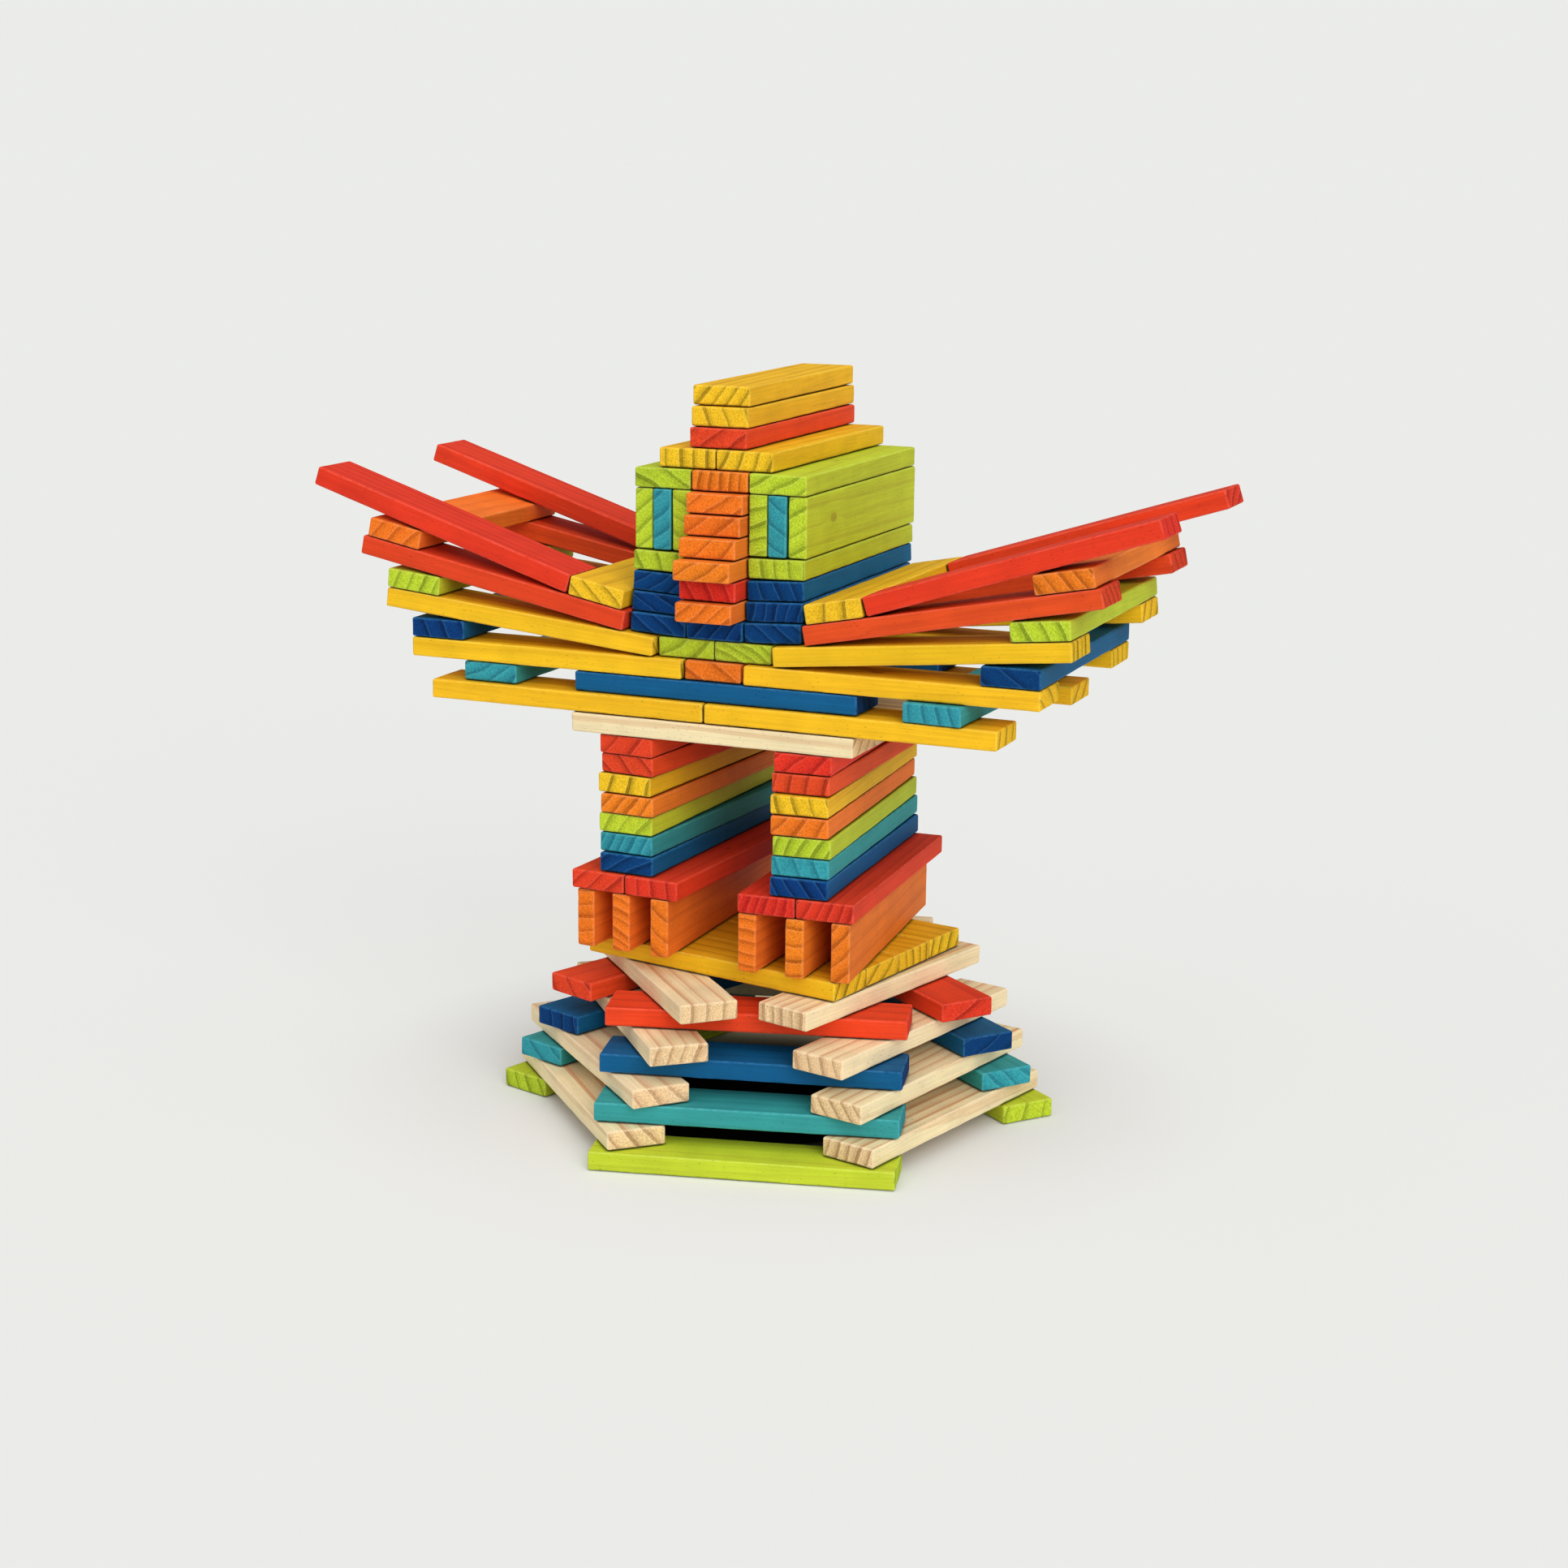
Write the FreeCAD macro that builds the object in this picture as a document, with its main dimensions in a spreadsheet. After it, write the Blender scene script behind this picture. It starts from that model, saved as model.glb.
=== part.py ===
"""Owl figure stacked from loose dyed pine planks on a six-sided base.

Every plank is the same blank, 15 : 3 : 1 in length, width and thickness, with
eased edges.  A node is one plank, or the planks of one colour in one course.
Heights count courses: a flat plank adds a thickness, a plank on edge a width.
+X is the owl's left wing seen from the front, -Y its front, +Z up.
"""

import FreeCAD, Part
import math
import os

import Sketcher

doc = FreeCAD.newDocument("plank_owl")


# --- driving dimensions, in millimetres and degrees ---------------------------

sheet = doc.addObject("Spreadsheet::Sheet", "sizes")
DIMENSIONS = [
    ("plank_length", 120.0),
    ("plank_width", 24.0),
    ("plank_thickness", 8.0),
    ("edge_ease", 0.6),
    ("side_gap", 0.1),
    # six-sided base: its middle, and how far its planks lie from there
    ("base_x", 5.5),
    ("base_y", -3.0),
    ("dyed_reach", 82.5),
    ("natural_reach", 85.0),
    ("course_step", 5.5),
    # platform, feet and legs
    ("platform_x", 6.5),
    ("platform_y", 1.0),
    ("platform_turn", -11.0),
    # rows of feathers
    ("deck_y", 7.0),
    ("shoulder_y", 7.5),
    ("wing_y", 10.0),
    ("row_two_inner", 13.0),
    ("row_three_inner", 25.5),
    ("row_four_inner", 38.5),
    ("yellow_inset", 2.0),
    ("orange_inset", 2.0),
    ("row_five_gap", 1.0),
]
for row, (alias, value) in enumerate(DIMENSIONS, start=1):
    sheet.set(f"A{row}", alias)
    sheet.set(f"B{row}", str(value))
    sheet.setAlias(f"B{row}", alias)
doc.recompute()
size = {alias: float(sheet.get(alias)) for alias, _ in DIMENSIONS}

LENGTH = size["plank_length"]
WIDTH = size["plank_width"]
THICKNESS = size["plank_thickness"]
PITCH = WIDTH + size["side_gap"]  # planks laid side by side
ACROSS = 90.0  # heading of a plank that runs front to back


# --- the plank blank ----------------------------------------------------------

def make_blank():
    """One plank lying flat along X, centred on the origin, its underside at z = 0."""
    body = doc.addObject("PartDesign::Body", "plank_blank")
    sketch = body.newObject("Sketcher::SketchObject", "plank_outline")
    ground = next(o for o in body.Origin.OriginFeatures if o.Role == "XY_Plane")
    sketch.AttachmentSupport = [(ground, "")]
    sketch.MapMode = "FlatFace"
    half_length, half_width = LENGTH / 2, WIDTH / 2
    corners = [
        FreeCAD.Vector(-half_length, -half_width, 0),
        FreeCAD.Vector(half_length, -half_width, 0),
        FreeCAD.Vector(half_length, half_width, 0),
        FreeCAD.Vector(-half_length, half_width, 0),
    ]
    for here, there in zip(corners, corners[1:] + corners[:1]):
        sketch.addGeometry(Part.LineSegment(here, there), False)
    for line in range(4):
        sketch.addConstraint(Sketcher.Constraint("Coincident", line, 2, (line + 1) % 4, 1))
    for line, direction in enumerate(("Horizontal", "Vertical", "Horizontal", "Vertical")):
        sketch.addConstraint(Sketcher.Constraint(direction, line))
    sketch.addConstraint(Sketcher.Constraint("Symmetric", 0, 1, 1, 2, -1, 1))
    long_side = sketch.addConstraint(
        Sketcher.Constraint("DistanceX", 0, 1, 0, 2, LENGTH)
    )
    sketch.setExpression(f"Constraints[{long_side}]", "sizes.plank_length")
    short_side = sketch.addConstraint(
        Sketcher.Constraint("DistanceY", 1, 1, 1, 2, WIDTH)
    )
    sketch.setExpression(f"Constraints[{short_side}]", "sizes.plank_width")
    pad = body.newObject("PartDesign::Pad", "plank_pad")
    pad.Profile = sketch
    pad.setExpression("Length", "sizes.plank_thickness")
    doc.recompute()
    eased = body.newObject("PartDesign::Chamfer", "plank_edges")
    eased.Base = (pad, [f"Edge{i + 1}" for i in range(len(pad.Shape.Edges))])
    eased.setExpression("Size", "sizes.edge_ease")
    doc.recompute()
    return body


blank = make_blank()


# --- laying planks ------------------------------------------------------------

nodes = {}  # node name -> its planks, in building order
TURN_UP = FreeCAD.Rotation(FreeCAD.Vector(1, 0, 0), 90)


def turned(heading):
    return FreeCAD.Rotation(FreeCAD.Vector(0, 0, 1), heading)


def copy_of_blank(node, placement):
    planks = nodes.setdefault(node, [])
    plank = doc.addObject("App::Link", f"{node}_plank_{len(planks) + 1}")
    plank.LinkedObject = blank
    plank.Placement = placement
    planks.append(plank)
    return plank


def height(flat, on_edge):
    return flat * THICKNESS + on_edge * WIDTH


def lay(node, x, y, flat, on_edge=0, heading=0.0, raised=0.0):
    """A flat plank on a stack of so many flat courses and so many on edge."""
    place = FreeCAD.Vector(x, y, height(flat, on_edge) + raised)
    plank = copy_of_blank(node, FreeCAD.Placement(place, turned(heading)))
    courses = f"{flat} * sizes.plank_thickness + {on_edge} * sizes.plank_width + {raised}"
    plank.setExpression(".Placement.Base.z", courses)
    return plank


def stand(node, x, y, flat, on_edge=0, heading=ACROSS, raised=0.0):
    """A plank on its long edge, centred on x and y."""
    upright = turned(heading) * TURN_UP
    middle = upright.multVec(FreeCAD.Vector(0, 0, THICKNESS / 2))
    place = FreeCAD.Vector(x, y, height(flat, on_edge) + WIDTH / 2 + raised) - middle
    return copy_of_blank(node, FreeCAD.Placement(place, upright))


def side_by_side(count):
    """Offsets of so many planks laid edge to edge, about their middle."""
    return [(i - (count - 1) / 2) * PITCH for i in range(count)]


# --- base: eight courses on alternate sides of a hexagon, drawing in -----------

# side: heading of its planks and how far they slip along it, then how far each
# plank is turned and how far it stands out, from the floor up
DYED_SIDES = [
    (15.0, 3.0, (-1.5, -0.5, -1.5, 0.5), (1.0, -0.5, -0.5, -1.0)),
    (142.0, -13.5, (-0.5, 0.0, 0.5, 0.0), (-1.0, -1.5, -0.5, 0.5)),
    (250.5, 5.0, (2.0, 0.5, -0.5, -1.0), (-2.0, -2.5, -3.0, -0.5)),
]
NATURAL_SIDES = [
    (75.5, 3.0, (0.5, 1.5, 1.0, -0.5), (2.0, 6.0, 8.5, 4.0)),
    (194.5, -2.0, (0.5, -0.5, 0.5, -0.5), (6.0, 6.0, 6.0, 6.0)),
    (313.0, -1.0, (1.0, 4.0, -2.5, 0.5), (-3.0, 1.0, -2.0, 0.0)),
]
DYED_COURSES = ["base_lime", "base_teal", "base_blue", "base_red"]


def lay_base_course(node, course, sides, reach):
    for heading, slip, turns, outs in sides:
        distance = reach + outs[course // 2] - course * size["course_step"]
        outward = math.radians(heading - 90)
        along = math.radians(heading)
        lay(
            node,
            size["base_x"] + distance * math.cos(outward) + slip * math.cos(along),
            size["base_y"] + distance * math.sin(outward) + slip * math.sin(along),
            course,
            heading=heading + turns[course // 2],
        )


for pair, node in enumerate(DYED_COURSES):
    lay_base_course(node, 2 * pair, DYED_SIDES, size["dyed_reach"])
    lay_base_course(
        f"base_natural_{pair + 1}", 2 * pair + 1, NATURAL_SIDES, size["natural_reach"]
    )

PLATFORM_COURSE = 8
turn = math.radians(size["platform_turn"])
for offset in side_by_side(4):
    lay(
        "platform",
        size["platform_x"] - offset * math.sin(turn),
        size["platform_y"] + offset * math.cos(turn),
        PLATFORM_COURSE,
        heading=size["platform_turn"],
    )


# --- feet and legs ------------------------------------------------------------

FEET = PLATFORM_COURSE + 1  # flat courses under the feet
# x, y and heading of each toe
LEFT_TOES = [(-49.5, 7.0, 86.0), (-37.0, 6.0, 89.5), (-21.0, 4.5, 91.0)]
RIGHT_TOES = [(21.0, 1.0, 88.5), (39.0, 1.0, 90.5), (52.5, 2.0, 95.5)]
for node, toes in (("left_toes", LEFT_TOES), ("right_toes", RIGHT_TOES)):
    for x, y, heading in toes:
        stand(node, x, y, FEET, heading=heading)


def lay_pair(node, x, y, flat, on_edge, heading):
    """Two planks side by side, turned together about their middle."""
    swing = math.radians(heading)
    for offset in side_by_side(2):
        lay(node, x + offset * math.sin(swing), y - offset * math.cos(swing), flat, on_edge, heading)


lay_pair("left_foot", -32.0, 5.0, FEET, 1, 86.5)
lay_pair("right_foot", 36.5, 1.0, FEET, 1, 93.0)

# course: colour, then x, y and heading of the left leg's plank and of the right's
LEG_COURSES = [
    ("leg_blue", (-33.0, 7.0, 87.5), (37.5, 2.0, 93.0)),
    ("leg_teal", (-32.0, 8.0, 86.0), (37.0, 3.0, 93.5)),
    ("leg_lime", (-34.5, 8.5, 88.0), (37.0, 3.0, 94.0)),
    ("leg_orange", (-32.0, 7.5, 86.5), (36.0, 3.0, 94.0)),
    ("leg_yellow", (-33.0, 8.5, 86.0), (36.0, 4.0, 93.5)),
    ("leg_red", (-30.0, 9.0, 84.0), (37.5, 6.5, 91.5)),
    ("leg_red", (-32.0, 8.0, 86.0), (36.5, 7.0, 93.0)),
]
for step, (node, left, right) in enumerate(LEG_COURSES):
    for x, y, heading in (left, right):
        lay(node, x, y, FEET + 1 + step, 1, heading)


# --- deck and level rows of the wings ------------------------------------------

DECK = FEET + 1 + len(LEG_COURSES)
DECK_X = 0.5
for offset in side_by_side(5):
    lay("deck", DECK_X, size["deck_y"] + offset, DECK, 1)

SIDES = [("left", -1), ("right", 1)]
ROW_SPREAD = (LENGTH - WIDTH) / 2  # front and back planks span one plank's length

ROW_ONE = DECK + 1
JOINT_GAP = 0.2
JOINT_X = -2.6  # the ends meet a little to one side
for name, sign in SIDES:
    for end in (-1, 1):
        x = JOINT_X + sign * (LENGTH / 2 + JOINT_GAP)
        lay(f"{name}_row_1", x, size["shoulder_y"] + end * ROW_SPREAD, ROW_ONE, 1)

TIES = ROW_ONE + 1
TIE_Y = 8.5
TIE_SPREAD = 46.5
for end in (-1, 1):
    lay("tie_blue", DECK_X, TIE_Y + end * TIE_SPREAD, TIES, 1)
# x, y and heading of the plank between rows one and two on each side
TEAL_SPACERS = {"left": (-96.5, 10.5, 89.0), "right": (94.0, 7.0, 87.5)}
for name, (x, y, heading) in TEAL_SPACERS.items():
    lay(f"{name}_spacer_teal", x, y, TIES, 1, heading)

ROW_TWO = TIES + 1
row_two_x = size["row_two_inner"] + LENGTH / 2
for name, sign in SIDES:
    for end in (-1, 1):
        lay(f"{name}_row_2", sign * row_two_x, size["wing_y"] + end * ROW_SPREAD, ROW_TWO, 1)
KEEL_X = -0.4
KEEL_ORANGE_Y = 11.5
lay("keel_orange", KEEL_X, KEEL_ORANGE_Y, ROW_TWO, 1, ACROSS)

KEEL = ROW_TWO + 1
row_two_end = size["row_two_inner"] + LENGTH
KEEL_LIME_Y = (13.5, 13.0)
for offset, y in zip(side_by_side(2), KEEL_LIME_Y):
    lay("keel_lime", KEEL_X + offset, y, KEEL, 1, ACROSS)
for name, sign in SIDES:
    x = sign * (row_two_end - WIDTH / 2)
    lay(f"{name}_spacer_blue", x, size["wing_y"], KEEL, 1, ACROSS)


# --- leaning rows of the wings --------------------------------------------------

# A leaning plank stands on its inner lower edge and leans on a spacer.  Its own
# frame runs outward along it (u) and square off its underside (v).

def frame_at(x, z, lean):
    return {"x": x, "z": z, "lean": lean}


def point_in(frame, u, v):
    lean = math.radians(frame["lean"])
    return (
        frame["x"] + u * math.cos(lean) - v * math.sin(lean),
        frame["z"] + u * math.sin(lean) + v * math.cos(lean),
    )


def lean_over(run):
    """Lean of a plank that meets the top edge of a spacer this far out."""
    return math.degrees(math.atan2(THICKNESS, run))


def lay_leaning(node, sign, frame, u, v, y, across=False):
    """A plank parallel to a leaning frame, its underside's middle at u and v."""
    x, z = point_in(frame, u, v)
    tilt = FreeCAD.Rotation(FreeCAD.Vector(0, 1, 0), -sign * frame["lean"])
    heading = turned(ACROSS if across else 0)
    copy_of_blank(node, FreeCAD.Placement(FreeCAD.Vector(sign * x, y, z), tilt * heading))


def lay_feathers(node, sign, frame, y):
    for end in (-1, 1):
        lay_leaning(node, sign, frame, LENGTH / 2, 0, y + end * ROW_SPREAD)


spacer_edge = row_two_end - WIDTH
row_three = frame_at(
    size["row_three_inner"],
    height(KEEL, 1),
    lean_over(spacer_edge - size["row_three_inner"]),
)
# row four stands on row three's top face, at its own distance from the middle
row_three_lean = math.radians(row_three["lean"])
row_four_u = (
    size["row_four_inner"]
    - size["row_three_inner"]
    + THICKNESS * math.sin(row_three_lean)
) / math.cos(row_three_lean)
row_four_foot = point_in(row_three, row_four_u, THICKNESS)
row_four = frame_at(
    *row_four_foot, row_three["lean"] + lean_over(LENGTH - WIDTH - row_four_u)
)
yellow_end = size["yellow_inset"] + WIDTH
row_five_u = yellow_end + size["row_five_gap"]
orange_start = LENGTH - size["orange_inset"] - WIDTH
row_five_foot = point_in(row_four, row_five_u, THICKNESS)
row_five = frame_at(
    *row_five_foot, row_four["lean"] + lean_over(orange_start - row_five_u)
)

ROW_FIVE_BACK = 0.5  # row five lies this much further back
for name, sign in SIDES:
    y = size["wing_y"]
    lay_feathers(f"{name}_row_3", sign, row_three, y)
    flush = LENGTH - WIDTH / 2
    lay_leaning(f"{name}_spacer_lime", sign, row_three, flush, THICKNESS, y, True)
    lay_feathers(f"{name}_row_4", sign, row_four, y)
    for colour, u in (
        ("yellow", size["yellow_inset"] + WIDTH / 2),
        ("orange", orange_start + WIDTH / 2),
    ):
        lay_leaning(f"{name}_spacer_{colour}", sign, row_four, u, THICKNESS, y, True)
    lay_feathers(f"{name}_row_5", sign, row_five, y + ROW_FIVE_BACK)


# --- head -----------------------------------------------------------------------

# Four courses of three planks.  The middle plank lies level; the outer two rest
# on it, or on row three's rising ends, so their outer edges stand higher.
BREAST = KEEL + 1
HEAD_SHIFT = 0.4  # the head stands this far towards the right wing
REST_GAP = 0.02
middle_half = PITCH / 2
outer_foot = middle_half + WIDTH + HEAD_SHIFT
row_three_top = point_in(row_three, 0, THICKNESS)
rise = (
    row_three_top[1]
    + (outer_foot - row_three_top[0]) * math.tan(math.radians(row_three["lean"]))
    - height(BREAST, 1)
    + REST_GAP
)
head_lean = math.degrees(math.asin(rise / WIDTH))
inner_foot = middle_half + THICKNESS * math.sin(math.radians(head_lean))
course_rise = THICKNESS / math.cos(math.radians(head_lean)) + REST_GAP

# outer planks: node, y and share of the lean; middle plank: node and y
HEAD_COURSES = [
    ("breast_blue", 13.5, 1.0, "breast_blue", 13.0),
    ("muzzle_blue", 15.0, 1.0, "lower_beak", 2.0),
    ("face_blue", 16.0, 1.0, "face_red", 6.0),
    ("cheeks", 16.5, 0.5, "upper_beak", 0.0),
]
outer_edge = height(BREAST, 1) + rise  # underside of a course at its outer edge
for step, (outer, y, share, middle, middle_y) in enumerate(HEAD_COURSES):
    lean = share * head_lean
    inner_edge = outer_edge - WIDTH * math.sin(math.radians(lean))
    for name, sign in SIDES:
        frame = frame_at(inner_foot - sign * HEAD_SHIFT, inner_edge, lean)
        lay_leaning(outer, sign, frame, WIDTH / 2, 0, y, True)
    outer_edge += course_rise

EYES = BREAST + len(HEAD_COURSES)
EYE_X = -HEAD_SHIFT
BROW_Y = (5.5, 10.0, 12.5)  # three orange planks, as tall as one plank on edge
eye_raise = outer_edge - height(EYES, 1)
# the middle planks lie a hair apart, so that their stack ends level with the eyes
slack = eye_raise / (len(HEAD_COURSES) + len(BROW_Y))
for step, (_, _, _, middle, y) in enumerate(HEAD_COURSES):
    lay(middle, EYE_X, y, BREAST + step, 1, ACROSS, step * slack)
for step, y in enumerate(BROW_Y):
    raised = (len(HEAD_COURSES) + step) * slack
    lay("brow_orange", EYE_X, y, EYES + step, 1, ACROSS, raised)

edge_pitch = THICKNESS + size["side_gap"]
eye_spread = PITCH + size["side_gap"]
EYE_Y = 17.0
EYE_LIMES_Y = {-1: 17.5, 1: 18.0}
for name, sign in SIDES:
    stand(f"{name}_eye", EYE_X + sign * eye_spread, EYE_Y, EYES, 1, raised=eye_raise)
    for step, y in EYE_LIMES_Y.items():
        x = EYE_X + sign * (eye_spread + step * edge_pitch)
        stand("eye_limes", x, y, EYES, 1, raised=eye_raise)

CROWN_Y = 17.5
for sign in (-1, 1):
    lay("crown_lime", EYE_X + sign * eye_spread, CROWN_Y, EYES, 2, ACROSS, eye_raise)
lay("crown_orange", EYE_X, CROWN_Y, EYES, 2, ACROSS, eye_raise)


# --- hat ------------------------------------------------------------------------

# course: node, x and y of its middle, heading and number of planks
HAT_COURSES = [
    ("hat_brim", -3.0, 19.5, 90.0, 2),
    ("hat_band", -4.0, 21.5, 91.0, 1),
    ("hat_crown", -4.5, 23.0, 91.5, 1),
    ("hat_top", -5.5, 25.5, 92.0, 1),
]
for step, (node, x, y, heading, count) in enumerate(HAT_COURSES, start=EYES + 1):
    for offset in side_by_side(count):
        lay(node, x + offset, y, step, 2, heading, eye_raise)


# --- one node each, set over the middle of the footprint -------------------------

groups = []
for node, planks in nodes.items():
    group = doc.addObject("Part::Compound", node)
    group.Label = node
    group.Links = planks
    groups.append(group)
doc.recompute()

whole = FreeCAD.BoundBox()
for group in groups:
    whole.add(group.Shape.BoundBox)
centring = FreeCAD.Vector(-whole.Center.x, -whole.Center.y, 0)
for group in groups:
    group.Placement = FreeCAD.Placement(centring, FreeCAD.Rotation())
doc.recompute()

for item in doc.Objects:
    if {"Invalid", "Error"} & set(item.State):
        raise RuntimeError(f"{item.Label} did not build")
os.makedirs("parts", exist_ok=True)
for group in groups:
    shape = group.Shape
    if shape.isNull() or not shape.isValid():
        raise RuntimeError(f"{group.Label} has no valid shape")
    shape.exportStep(f"parts/{group.Label}.step")
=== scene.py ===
import math
import random

import bmesh
import bpy
import numpy as np
from mathutils import Matrix, Vector, noise


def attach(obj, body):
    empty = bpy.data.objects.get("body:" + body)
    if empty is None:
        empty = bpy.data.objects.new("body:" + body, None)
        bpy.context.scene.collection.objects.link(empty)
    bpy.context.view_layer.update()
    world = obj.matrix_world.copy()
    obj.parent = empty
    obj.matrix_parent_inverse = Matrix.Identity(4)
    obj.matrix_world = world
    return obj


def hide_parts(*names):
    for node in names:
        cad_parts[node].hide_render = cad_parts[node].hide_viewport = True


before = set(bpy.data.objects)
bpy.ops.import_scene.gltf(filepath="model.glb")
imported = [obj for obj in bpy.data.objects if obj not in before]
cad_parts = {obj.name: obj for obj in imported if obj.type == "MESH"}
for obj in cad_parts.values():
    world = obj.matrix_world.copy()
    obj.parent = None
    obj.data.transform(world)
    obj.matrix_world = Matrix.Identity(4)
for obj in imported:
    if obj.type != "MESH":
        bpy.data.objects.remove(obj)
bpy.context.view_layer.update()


# --- Base ---------------------------------------------------------------------
# Eight courses of three planks on the sides of a hexagon, log-cabin fashion: dyed
# and bare courses by turns, each a little further in than the one below.  Every
# plank is pine, sawn to one size, tumbled to ease its edges, dyed and laid loose.

MM = 0.001
PLANK = np.array([120.0, 24.0, 8.0])  # length, width and thickness, in mm
CLEAR = 0.1  # the wood stops this far inside its solid, which leaves a seam
EDGE_RADIUS = 0.95
EDGE_UNEVEN = 0.35  # share by which that radius comes and goes
FACE_HOLLOW = 0.05
ROUNDING = (math.tan(math.radians(22.5)), 1.0)  # two steps from a face to its edge's middle
CELLS = (24, 6, 2)  # along the length, the width and the thickness
KNOTTY = 0.22  # share of planks with a knot
RING_PITCH = (3.2, 9.5, 5.8)  # least, most and usual distance between growth rings


def planks_in(node):
    """The place of each plank of a node, from its solids: axes and middle, in mm."""
    shape = bmesh.new()
    shape.from_mesh(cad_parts[node].data)
    bmesh.ops.remove_doubles(shape, verts=shape.verts, dist=1e-6)
    unseen = set(shape.verts)
    places = []
    while unseen:
        found, waiting = set(), [next(v for v in shape.verts if v in unseen)]
        while waiting:
            vert = waiting.pop()
            if vert in unseen:
                unseen.remove(vert)
                found.add(vert)
                waiting += [edge.other_vert(vert) for edge in vert.link_edges]
        corners = np.array([v.co for v in found]) / MM
        middle = (corners.min(0) + corners.max(0)) / 2
        _, axes = np.linalg.eigh(np.cov((corners - corners.mean(0)).T))
        long = axes[:, 2] * np.sign(axes[np.abs(axes[:, 2]).argmax(), 2])
        thick = axes[:, 0] * np.sign(axes[np.abs(axes[:, 0]).argmax(), 0])
        places.append((np.column_stack([long, np.cross(thick, long), thick]), middle))
    shape.free()
    return sorted(places, key=lambda place: [round(v, 1) for v in place[1][[2, 0, 1]]])


def plank_lattice():
    """Points over a rounded box: where each sits on the inner box, and its normal."""
    lines = []
    for half, cells in zip(PLANK / 2 - CLEAR - EDGE_RADIUS, CELLS):
        inner = np.linspace(-1, 1, cells + 1)
        line = [(-1.0, -d) for d in reversed(ROUNDING)]
        line += [(t, 0.0) for t in inner]
        line += [(1.0, d) for d in ROUNDING]
        lines.append(line)
    last = [len(line) - 1 for line in lines]
    index, inner, normals, faces = {}, [], [], []

    def point(key):
        if key not in index:
            index[key] = len(inner)
            inner.append([lines[a][key[a]][0] for a in range(3)])
            away = Vector([lines[a][key[a]][1] for a in range(3)])
            normals.append(away.normalized())
        return index[key]

    for axis in range(3):
        a, b = (axis + 1) % 3, (axis + 2) % 3
        for side in (0, last[axis]):
            for i in range(last[a]):
                for j in range(last[b]):
                    quad = []
                    for di, dj in ((0, 0), (1, 0), (1, 1), (0, 1)):
                        key = [0, 0, 0]
                        key[axis], key[a], key[b] = side, i + di, j + dj
                        quad.append(point(tuple(key)))
                    faces.append(quad if side else quad[::-1])
    return np.array(inner), np.array(normals), faces


LATTICE, NORMALS, FACES = plank_lattice()


def saw_plank(name, place, draw):
    """One plank with eased, slightly uneven edges, and its own piece of the log."""
    axes, middle = place
    shift = Vector([draw.uniform(-500, 500) for _ in range(3)])
    half = PLANK / 2 - CLEAR
    local = np.empty_like(LATTICE)
    for i, (inner, normal) in enumerate(zip(LATTICE, NORMALS)):
        start = Vector(inner * half) + shift
        radius = EDGE_RADIUS * (1 + EDGE_UNEVEN * noise.noise(start / 7))
        hollow = FACE_HOLLOW * (1 + noise.noise(start / 25))
        local[i] = inner * (half - radius) + normal * (radius - hollow)
    mesh = bpy.data.meshes.new(name)
    mesh.from_pydata(((local @ axes.T + middle) * MM).tolist(), [], FACES)
    mesh.shade_smooth()
    mesh.normals_split_custom_set_from_vertices((NORMALS @ axes.T).tolist())

    # the middle of the tree lies this far from the plank, and at a slight slant
    bearing = math.radians(draw.uniform(-62, 62)) + draw.choice((0, math.pi))
    reach = draw.uniform(35, 130)
    slant = [math.radians(draw.gauss(0, 0.7)) for _ in range(2)]
    grain = local.copy()
    grain[:, 0] += shift.x
    grain[:, 1] += reach * math.cos(bearing) + local[:, 0] * math.tan(slant[0])
    grain[:, 2] += reach * math.sin(bearing) + local[:, 0] * math.tan(slant[1])
    # some planks have a small knot, its branch running through from face to face
    knot = [draw.uniform(-50, 50), draw.uniform(-8, 8), draw.uniform(0.9, 2.0)]
    if draw.random() > KNOTTY:
        knot[0] = 10 * PLANK[0]  # far off the end: none
    # how light the plank is, its ring pitch, and how strongly its rings show
    cast = [draw.uniform(0, 1), draw.triangular(*RING_PITCH), draw.uniform(0.7, 1.0)]
    for title, values in (
        ("plank_mm", local),
        ("grain_mm", grain),
        ("plank_cast", np.tile(cast, (len(local), 1))),
        ("plank_knot", np.tile(knot, (len(local), 1))),
    ):
        attribute = mesh.attributes.new(title, "FLOAT_VECTOR", "POINT")
        attribute.data.foreach_set("vector", values.astype(np.float32).ravel())
    plank = bpy.data.objects.new(name, mesh)
    bpy.context.scene.collection.objects.link(plank)
    return plank


def lay(node, body, finish):
    """Lays a node's planks where the frame has them."""
    places = planks_in(node)
    for number, place in enumerate(places, start=1):
        name = f"{node}_plank_{number}"
        plank = saw_plank(name, place, random.Random(name))
        plank.data.materials.append(finish)
        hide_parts(node)
        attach(plank, body)


def linear(colour):
    """An sRGB hex colour as linear red, green, blue and alpha."""
    parts = [int(colour[i:i + 2], 16) / 255 for i in (1, 3, 5)]
    return [p / 12.92 if p <= 0.04045 else ((p + 0.055) / 1.055) ** 2.4 for p in parts] + [1.0]


def add(tree, kind, links, **settings):
    """Adds a node; each of its inputs is linked to a node or socket, or set to a value."""
    node = tree.nodes.new(kind)
    for key, value in settings.items():
        setattr(node, key, value)
    for key, value in links.items():
        if isinstance(value, bpy.types.Node):
            value = value.outputs[0]
        if isinstance(value, bpy.types.NodeSocket):
            tree.links.new(value, node.inputs[key])
        else:
            node.inputs[key].default_value = value
    return node


MATH = "ShaderNodeMath"
VECTOR = "ShaderNodeVectorMath"
RANGE = "ShaderNodeMapRange"
NOISE = "ShaderNodeTexNoise"
MIX = "ShaderNodeMix"


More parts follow.
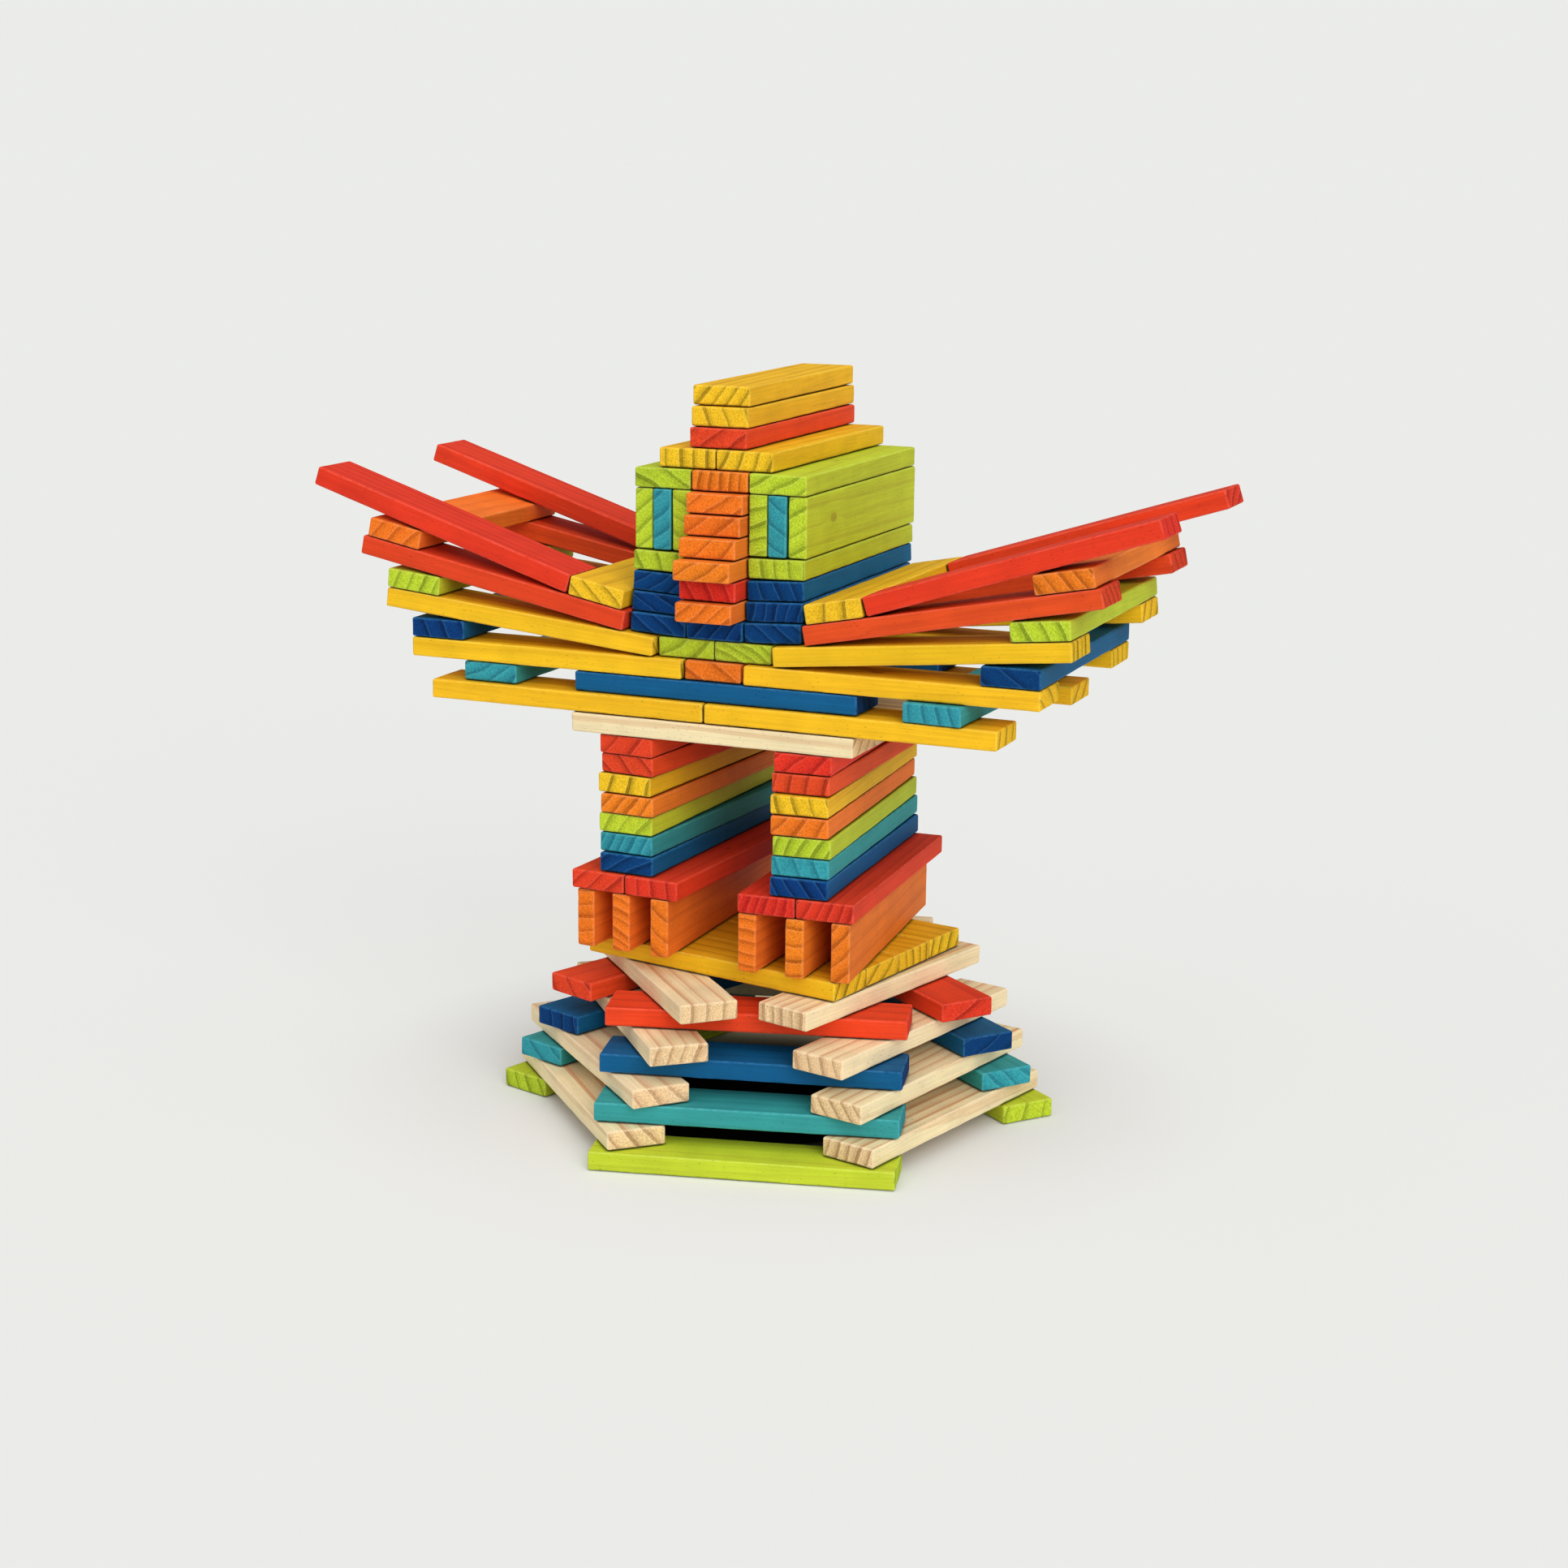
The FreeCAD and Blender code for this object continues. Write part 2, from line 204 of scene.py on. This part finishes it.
def pine(name, face, end, face_line, end_line, rim, face_lines, end_lines, roughness=0.62):
    """Pine under a thin finish: growth rings that run from the ends along the faces.

    Colours are of the early wood on faces and ends, of the late wood on both, and of
    rubbed edges, where the rim colour is also a painted highlight; face_lines and
    end_lines say how strongly late wood shows.
    """
    material = bpy.data.materials.new(name)
    material.use_nodes = True
    tree = material.node_tree
    tree.nodes.clear()
    mm = add(tree, "ShaderNodeAttribute", {}, attribute_name="plank_mm").outputs["Vector"]
    grain = add(tree, "ShaderNodeAttribute", {}, attribute_name="grain_mm").outputs["Vector"]
    cast = add(tree, "ShaderNodeAttribute", {}, attribute_name="plank_cast").outputs["Vector"]
    cast = add(tree, "ShaderNodeSeparateXYZ", {0: cast}).outputs

    # distance in from each pair of faces; the middle one of the three is to an edge
    out = add(tree, VECTOR, {0: mm}, operation="ABSOLUTE")
    inset = add(tree, VECTOR, {0: list(PLANK / 2 - CLEAR), 1: out}, operation="SUBTRACT")
    inset = add(tree, "ShaderNodeSeparateXYZ", {0: inset}).outputs
    low = add(tree, MATH, {0: inset[0], 1: inset[1]}, operation="MINIMUM")
    high = add(tree, MATH, {0: inset[0], 1: inset[1]}, operation="MAXIMUM")
    high = add(tree, MATH, {0: high, 1: inset[2]}, operation="MINIMUM")
    to_edge = add(tree, MATH, {0: low, 1: high}, operation="MAXIMUM")
    is_end = add(tree, RANGE, {"Value": inset[0], 1: 0.7, 2: 0.2, 3: 0.0, 4: 1.0})

    # growth rings: distance from the tree's middle, wavering, over the ring pitch
    around = add(tree, VECTOR, {0: grain, 1: (0, 1, 1)}, operation="MULTIPLY")
    radius = add(tree, VECTOR, {0: around}, operation="LENGTH").outputs["Value"]
    slow = add(tree, VECTOR, {0: grain, 1: (1 / 90, 1 / 15, 1 / 15)}, operation="MULTIPLY")
    waver = add(tree, NOISE, {"Vector": slow, "Scale": 1.0, "Detail": 1.0})
    radius = add(tree, MATH, {0: waver, 1: 3.4, 2: radius}, operation="MULTIPLY_ADD")
    fine = add(tree, VECTOR, {0: grain, 1: (1 / 30, 0.8, 0.8)}, operation="MULTIPLY")
    tremble = add(tree, NOISE, {"Vector": fine, "Scale": 1.0, "Detail": 2.0})
    radius = add(tree, MATH, {0: tremble, 1: 0.45, 2: radius}, operation="MULTIPLY_ADD")

    # a knot: the rings part round the branch, which is darker and has its own edge
    knot = add(tree, "ShaderNodeAttribute", {}, attribute_name="plank_knot").outputs["Vector"]
    from_knot = add(tree, VECTOR, {0: mm, 1: knot}, operation="SUBTRACT")
    from_knot = add(tree, VECTOR, {0: from_knot, 1: (0.55, 1, 0)}, operation="MULTIPLY")
    from_knot = add(tree, VECTOR, {0: from_knot}, operation="LENGTH").outputs["Value"]
    knot_size = add(tree, "ShaderNodeSeparateXYZ", {0: knot}).outputs[2]
    from_knot = add(tree, MATH, {0: from_knot, 1: knot_size}, operation="DIVIDE")
    parting = add(tree, RANGE, {"Value": from_knot, 1: 0.8, 2: 4.5, 3: 2.6, 4: 0.0})
    radius = add(tree, MATH, {0: radius, 1: parting}, operation="ADD")
    knotted = add(tree, RANGE, {"Value": from_knot, 1: 0.75, 2: 1.15, 3: 0.8, 4: 0.0})
    not_end = add(tree, MATH, {0: 1.0, 1: is_end}, operation="SUBTRACT")
    knotted = add(tree, MATH, {0: knotted, 1: not_end}, operation="MULTIPLY")
    rings = add(tree, MATH, {0: radius, 1: cast[1]}, operation="DIVIDE")
    number = add(tree, MATH, {0: rings}, operation="FLOOR")
    weight = add(tree, "ShaderNodeTexWhiteNoise", {"W": number}, noise_dimensions="1D")
    weight = weight.outputs["Value"]

    # late wood: a band a millimetre or so wide that ends sharply at the ring's edge
    phase = add(tree, MATH, {0: rings}, operation="FRACT")
    back = add(tree, MATH, {0: 1.0, 1: phase}, operation="SUBTRACT")
    back = add(tree, MATH, {0: back, 1: cast[1]}, operation="MULTIPLY")
    band = add(tree, RANGE, {"Value": weight, 3: 2.4, 4: 4.4})
    back = add(tree, MATH, {0: back, 1: band}, operation="DIVIDE")
    late = add(tree, "ShaderNodeValToRGB", {0: back})
    stops = ((0.0, 0.1), (0.06, 0.95), (0.16, 0.72), (0.28, 1.0), (0.40, 0.45), (0.95, 0.0))
    ramp = late.color_ramp.elements
    while len(ramp) < len(stops):
        ramp.new(0.5)
    for element, (position, value) in zip(ramp, stops):
        element.position = position
        element.color = (value, value, value, 1)
    weight = add(tree, RANGE, {"Value": weight, 3: 0.68, 4: 1.0})
    late = add(tree, MATH, {0: late, 1: weight}, operation="MULTIPLY")
    # on the narrow sides the saw has torn the fibres up, and the rings show less
    narrow = add(tree, RANGE, {"Value": inset[1], 1: 0.9, 2: 0.3, 3: 1.0, 4: 0.45})
    on_sides = add(tree, MATH, {0: narrow, 1: face_lines}, operation="MULTIPLY")
    shown = add(tree, RANGE, {"Value": is_end, 3: on_sides, 4: end_lines})
    shown = add(tree, MATH, {0: shown, 1: cast[2]}, operation="MULTIPLY")
    lines = add(tree, MATH, {0: late, 1: shown}, operation="MULTIPLY")
    lines = add(tree, MATH, {0: lines, 1: knotted}, operation="MAXIMUM")
    # the first wood of the next ring, soft and open, dries paler beside the late wood
    first = add(tree, MATH, {0: phase, 1: cast[1]}, operation="MULTIPLY")
    first = add(tree, RANGE, {"Value": first, 1: 0.2, 2: 0.9, 3: 0.18, 4: 0.0})
    first = add(tree, MATH, {0: first, 1: is_end}, operation="MULTIPLY")

    # fibres, some 40 mm long and under 1 mm wide, and on the ends their cut tips
    fibre_at = add(tree, VECTOR, {0: grain, 1: (1 / 40, 1.3, 1.3)}, operation="MULTIPLY")
    fibres = add(tree, NOISE, {"Vector": fibre_at, "Scale": 1.0, "Detail": 4.0})
    tips = add(tree, NOISE, {"Vector": grain, "Scale": 1.6, "Detail": 3.0})
    blots = add(tree, NOISE, {"Vector": grain, "Scale": 1 / 14, "Detail": 2.0})
    on_face = add(tree, RANGE, {"Value": fibres, 1: 0.3, 2: 0.7, 3: 0.91, 4: 1.08})
    on_end = add(tree, RANGE, {"Value": tips, 1: 0.3, 2: 0.7, 3: 0.76, 4: 1.24})
    texture = add(tree, MIX, {0: is_end, 2: on_face, 3: on_end}, data_type="FLOAT")
    tone = add(tree, RANGE, {"Value": cast[0], 3: 0.94, 4: 1.07})
    patch = add(tree, RANGE, {"Value": blots, 1: 0.3, 2: 0.7, 3: 0.94, 4: 1.06})
    tone = add(tree, MATH, {0: tone, 1: patch}, operation="MULTIPLY")
    tone = add(tree, MATH, {0: tone, 1: texture}, operation="MULTIPLY")
    fleck_at = add(tree, VECTOR, {0: grain, 1: (0.7, 2.4, 2.4)}, operation="MULTIPLY")
    flecks = add(tree, NOISE, {"Vector": fleck_at, "Scale": 1.0, "Detail": 0.0})
    flecks = add(tree, RANGE, {"Value": flecks, 1: 0.74, 2: 0.80, 3: 1.0, 4: 0.72})
    tone = add(tree, MATH, {0: tone, 1: flecks}, operation="MULTIPLY")
    # painted shade: the colour darkens in the seams and creases where one plank lies against
    # another and little light gets in
    painted_shade_reach = 1.6 * MM
    painted_seam_shade = add(tree, "ShaderNodeAmbientOcclusion", {"Distance": painted_shade_reach}, samples=6)
    painted_seam_shade = add(tree, RANGE, {"Value": painted_seam_shade.outputs["AO"], 1: 0.25, 2: 0.85, 3: 0.25, 4: 1.0})
    tone = add(tree, MATH, {0: tone, 1: painted_seam_shade}, operation="MULTIPLY")
    hue = add(tree, RANGE, {"Value": cast[2], 1: 0.7, 2: 1.0, 3: 0.495, 4: 0.505})

    ground = add(tree, MIX, {0: is_end, 6: linear(face), 7: linear(end)}, data_type="RGBA")
    mark = add(
        tree, MIX, {0: is_end, 6: linear(face_line), 7: linear(end_line)}, data_type="RGBA"
    )
    colour = add(
        tree, MIX, {0: lines, 6: ground.outputs[2], 7: mark.outputs[2]}, data_type="RGBA"
    )
    colour = add(
        tree, "ShaderNodeHueSaturation", {"Hue": hue, "Value": tone, "Color": colour.outputs[2]}
    )

    colour = add(tree, MIX, {0: first, 6: colour, 7: linear(rim)}, data_type="RGBA").outputs[2]

    # rubbed edges let the pale wood through in places, and the same rim colour is a painted
    # highlight along the rounded edges
    wear_and_highlight_breaks = add(tree, NOISE, {"Vector": grain, "Scale": 1 / 2.5, "Detail": 3.0})
    wear_and_highlight_breaks = add(tree, RANGE, {"Value": wear_and_highlight_breaks, 1: 0.3, 2: 0.6})
    wear_and_highlight = add(tree, RANGE, {"Value": to_edge, 1: 0.9, 2: 0.25, 3: 0.0, 4: 0.5})
    wear_and_highlight = add(tree, MATH, {0: wear_and_highlight, 1: wear_and_highlight_breaks}, operation="MULTIPLY")
    colour = add(tree, MIX, {0: wear_and_highlight, 6: colour, 7: linear(rim)}, data_type="RGBA")

    height = add(tree, MATH, {0: lines, 1: 0.15, 2: texture}, operation="MULTIPLY_ADD")
    strength = add(tree, RANGE, {"Value": is_end, 3: 0.35, 4: 1.0})
    bump = add(
        tree, "ShaderNodeBump", {"Height": height, "Strength": strength, "Distance": 0.4 * MM}
    )
    rough = add(tree, RANGE, {"Value": is_end, 3: roughness, 4: 0.9})
    shader = add(
        tree,
        "ShaderNodeBsdfPrincipled",
        {
            "Base Color": colour.outputs[2],
            "Roughness": rough,
            "Normal": bump,
            "Specular IOR Level": 0.1,
        },
    )
    add(tree, "ShaderNodeOutputMaterial", {"Surface": shader})
    return material


# Water dye soaked into pine, one colour each: the wood still shows through it, the
# ends drink more than the faces, and the hard late wood shows as lines.
lime_pine = pine(
    "lime_dyed_pine", "#BDCB31", "#BACF32", "#A3992C", "#5A6A16", "#CFE06A", 0.42, 0.80
)
teal_pine = pine(
    "teal_dyed_pine", "#379899", "#369AA5", "#237C80", "#0F5066", "#63BDC2", 0.50, 0.70
)
blue_pine = pine(
    "blue_dyed_pine", "#0F5A8B", "#083A74", "#06406F", "#011230", "#4484BC", 0.60, 0.90
)
red_pine = pine(
    "red_dyed_pine", "#E04420", "#DD3F25", "#B0271B", "#7A120D", "#EE6A58", 0.62, 0.80
)
# Bare pine, only sanded: cream early wood and pinkish-brown late wood.
bare_pine = pine(
    "sanded_bare_pine", "#F2DEB2", "#F0CD9D", "#D08E5E", "#955C38", "#F7E8C8", 0.95, 0.82
)

for pair, (colour, finish) in enumerate(
    (("lime", lime_pine), ("teal", teal_pine), ("blue", blue_pine), ("red", red_pine)), start=1
):
    lay(f"base_{colour}", "base", finish)
    lay(f"base_natural_{pair}", "base", bare_pine)


# --- Platform -----------------------------------------------------------------
# Four yellow planks side by side, laid loose over the base's top course, turned a
# little to the right.

# Yellow dye leaves the late wood dark brown, so the rings stand out on the ends.
yellow_pine = pine(
    "yellow_dyed_pine", "#ECB81F", "#F1C127", "#B5730F", "#54420A", "#F4D25C", 0.65, 0.92
)
lay("platform", "platform", yellow_pine)


# --- Feet ---------------------------------------------------------------------
# Each foot is three orange toes on edge under two red planks laid flat.

# Orange dye, with late wood a deeper orange brown.
orange_pine = pine(
    "orange_dyed_pine", "#EA7928", "#EF7C22", "#BE4D18", "#85340C", "#F5A067", 0.42, 0.80
)
for side in ("left", "right"):
    lay(f"{side}_toes", "feet", orange_pine)
    lay(f"{side}_foot", "feet", red_pine)


# --- Legs ---------------------------------------------------------------------
# Two stacks of seven flat planks, one to a course, in the order of the rainbow.

for colour, finish in (
    ("blue", blue_pine),
    ("teal", teal_pine),
    ("lime", lime_pine),
    ("orange", orange_pine),
    ("yellow", yellow_pine),
    ("red", red_pine),
):
    lay(f"leg_{colour}", "legs", finish)


# --- Deck and shoulders -------------------------------------------------------
# Five bare planks bridge the legs.  On them lie the level rows of the wings, with
# blue ties and teal spacers between, and the keel planks that carry the head.

lay("deck", "deck", bare_pine)
for side in ("left", "right"):
    lay(f"{side}_row_1", "row_one", yellow_pine)
    lay(f"{side}_spacer_teal", "ties", teal_pine)
    lay(f"{side}_row_2", "row_two", yellow_pine)
    lay(f"{side}_spacer_blue", "keel", blue_pine)
lay("tie_blue", "ties", blue_pine)
lay("keel_orange", "row_two", orange_pine)
lay("keel_lime", "keel", lime_pine)


# --- Raised feathers ----------------------------------------------------------
# The upper three rows of each wing lean outward and up: their inner ends stand on
# the row below and their outer ends lie on lime, yellow and orange spacers.

for side in ("left", "right"):
    lay(f"{side}_row_3", "row_three", yellow_pine)
    lay(f"{side}_spacer_lime", "row_three", lime_pine)
    lay(f"{side}_row_4", f"{side}_row_four", red_pine)
    lay(f"{side}_spacer_yellow", f"{side}_row_four", yellow_pine)
    lay(f"{side}_spacer_orange", f"{side}_orange", orange_pine)
    lay(f"{side}_row_5", f"{side}_row_five", red_pine)


# --- Head ---------------------------------------------------------------------
# Three blue courses and one lime course of three planks.  Their outer planks rest
# a little askew on the wings, and the beak's planks are pulled out to the front.

lay("breast_blue", "breast", blue_pine)
lay("muzzle_blue", "muzzle", blue_pine)
lay("lower_beak", "lower_beak", orange_pine)
lay("face_blue", "face", blue_pine)
lay("face_red", "face", red_pine)
lay("cheeks", "cheeks", lime_pine)
lay("upper_beak", "upper_beak", orange_pine)


# --- Eyes, brow and crown -----------------------------------------------------
# A teal plank on edge between two lime ones makes each eye; orange planks fill the
# middle, and a course of lime, orange and lime closes the head.

lay("eye_limes", "brow", lime_pine)
lay("left_eye", "left_eye", teal_pine)
lay("right_eye", "right_eye", teal_pine)
lay("brow_orange", "brow", orange_pine)
lay("crown_lime", "crown", lime_pine)
lay("crown_orange", "crown", orange_pine)


# --- Hat ----------------------------------------------------------------------
# A brim of two yellow planks, a red band and two more yellow planks on top.

lay("hat_brim", "hat_brim", yellow_pine)
lay("hat_band", "hat_band", red_pine)
lay("hat_crown", "hat_crown", yellow_pine)
lay("hat_top", "hat_top", yellow_pine)


# --- Room ---------------------------------------------------------------------
# A pale floor that runs out to the horizon and meets a sky of the same colour,
# under soft light from above, from the front and from the right.

BACKDROP = "#EBECE9"
SKY_LOW, SKY_RISE = 0.15, 0.50  # strength at the horizon, and how much more overhead
# where the light comes from, its strength, and how wide its source is
LAMPS = [
    ("top", (0.1, -0.25, 1.0), 0.82, 70),
    ("front_right", (0.95, -1.0, 0.70), 1.56, 40),
    ("front_left", (-0.55, -1.0, 0.55), 0.33, 50),
]
floor_light = SKY_LOW + SKY_RISE * 2 / 3  # what falls on the floor from the sky alone
for name, source, strength, width in LAMPS:
    towards = Vector(source).normalized()
    lamp = bpy.data.lights.new(name, "SUN")
    lamp.energy = strength
    lamp.angle = math.radians(width)
    lamp_object = bpy.data.objects.new(name, lamp)
    lamp_object.rotation_euler = towards.to_track_quat("Z", "Y").to_euler()
    bpy.context.scene.collection.objects.link(lamp_object)
    floor_light += strength * towards.z / math.pi

world = bpy.data.worlds.new("studio")
world.use_nodes = True
world.node_tree.nodes.clear()
seen = add(world.node_tree, "ShaderNodeLightPath", {}).outputs["Is Camera Ray"]
upward = add(world.node_tree, "ShaderNodeTexCoord", {}).outputs["Generated"]
upward = add(world.node_tree, "ShaderNodeSeparateXYZ", {0: upward}).outputs["Z"]
glow = add(world.node_tree, RANGE, {"Value": upward, 3: SKY_LOW, 4: SKY_LOW + SKY_RISE})
sky = add(world.node_tree, "ShaderNodeBackground", {"Color": (1, 1, 1, 1), "Strength": glow})
backdrop = add(world.node_tree, "ShaderNodeBackground", {"Color": linear(BACKDROP)})
sky = add(world.node_tree, "ShaderNodeMixShader", {0: seen, 1: sky, 2: backdrop})
add(world.node_tree, "ShaderNodeOutputWorld", {"Surface": sky})
bpy.context.scene.world = world

FLOOR_REACH = 60.0  # metres
floor_mesh = bpy.data.meshes.new("floor")
floor_corners = [(x, y, 0) for x, y in ((-1, -1), (1, -1), (1, 1), (-1, 1))]
floor_mesh.from_pydata([Vector(c) * FLOOR_REACH for c in floor_corners], [], [(0, 1, 2, 3)])
floor = bpy.data.objects.new("floor", floor_mesh)
bpy.context.scene.collection.objects.link(floor)
# painted light: the floor glows in the backdrop's colour from a hand's breadth clear of the tower
# outward, which fills in the shadows there and keeps them close to the planks
GLOW_SHARE = 0.75
GLOW_FROM, GLOW_BY = 0.095, 0.20  # it fades in between these, in metres from the middle
floor_finish = bpy.data.materials.new("floor_with_painted_light")
floor_finish.use_nodes = True
top = floor_finish.node_tree
top.nodes.clear()
spot = add(top, "ShaderNodeNewGeometry", {}).outputs["Position"]
distance = add(top, VECTOR, {0: spot}, operation="LENGTH").outputs["Value"]
painted_glow = add(top, RANGE, {"Value": distance, 1: GLOW_FROM, 2: GLOW_BY, 3: 0.0, 4: GLOW_SHARE})
matt_colour = [c / floor_light for c in linear(BACKDROP)[:3]] + [1.0]
# painted shade: the floor under the base is painted near black, which keeps light from coming up
# between the courses, and the shade fades out between these distances
PAINTED_SHADE_UNDER_BASE = "#1A1512"
SHADE_FROM, SHADE_TO = 0.060, 0.080
under_base_shade = add(top, RANGE, {"Value": distance, 1: SHADE_FROM, 2: SHADE_TO, 3: 1.0, 4: 0.0})
matt_colour = add(top, MIX, {0: under_base_shade, 6: matt_colour, 7: linear(PAINTED_SHADE_UNDER_BASE)}, data_type="RGBA")
matt = add(top, "ShaderNodeBsdfDiffuse", {"Color": matt_colour.outputs[2]})
# painted light: the floor's glow, an emission in the backdrop's colour
glow_emission = add(top, "ShaderNodeEmission", {"Color": linear(BACKDROP)})
glow_over_matt = add(top, "ShaderNodeMixShader", {0: painted_glow, 1: matt, 2: glow_emission})
add(top, "ShaderNodeOutputMaterial", {"Surface": glow_over_matt})
floor_mesh.materials.append(floor_finish)
bpy.context.scene.view_settings.view_transform = "Standard"


# --- Camera -------------------------------------------------------------------
# A short telephoto lens a metre off, to the right of the front, looking a little
# down on the hat.

camera_data = bpy.data.cameras.new("camera")
camera_data.sensor_width = 36
camera_data.lens = 62.943
camera_data.clip_end = 200  # metres, past the floor's corners
camera = bpy.data.objects.new("camera", camera_data)
CAMERA_STANDS = (0.42706, -1.00094, 0.38763)
aside, down, roll = (math.radians(a) for a in (22.602, 13.143, 0.612))
camera.matrix_world = (
    Matrix.Translation(CAMERA_STANDS)
    @ Matrix.Rotation(aside, 4, "Z")
    @ Matrix.Rotation(math.pi / 2 - down, 4, "X")
    @ Matrix.Rotation(roll, 4, "Z")
)
bpy.context.scene.collection.objects.link(camera)
bpy.context.scene.camera = camera

bpy.context.view_layer.update()
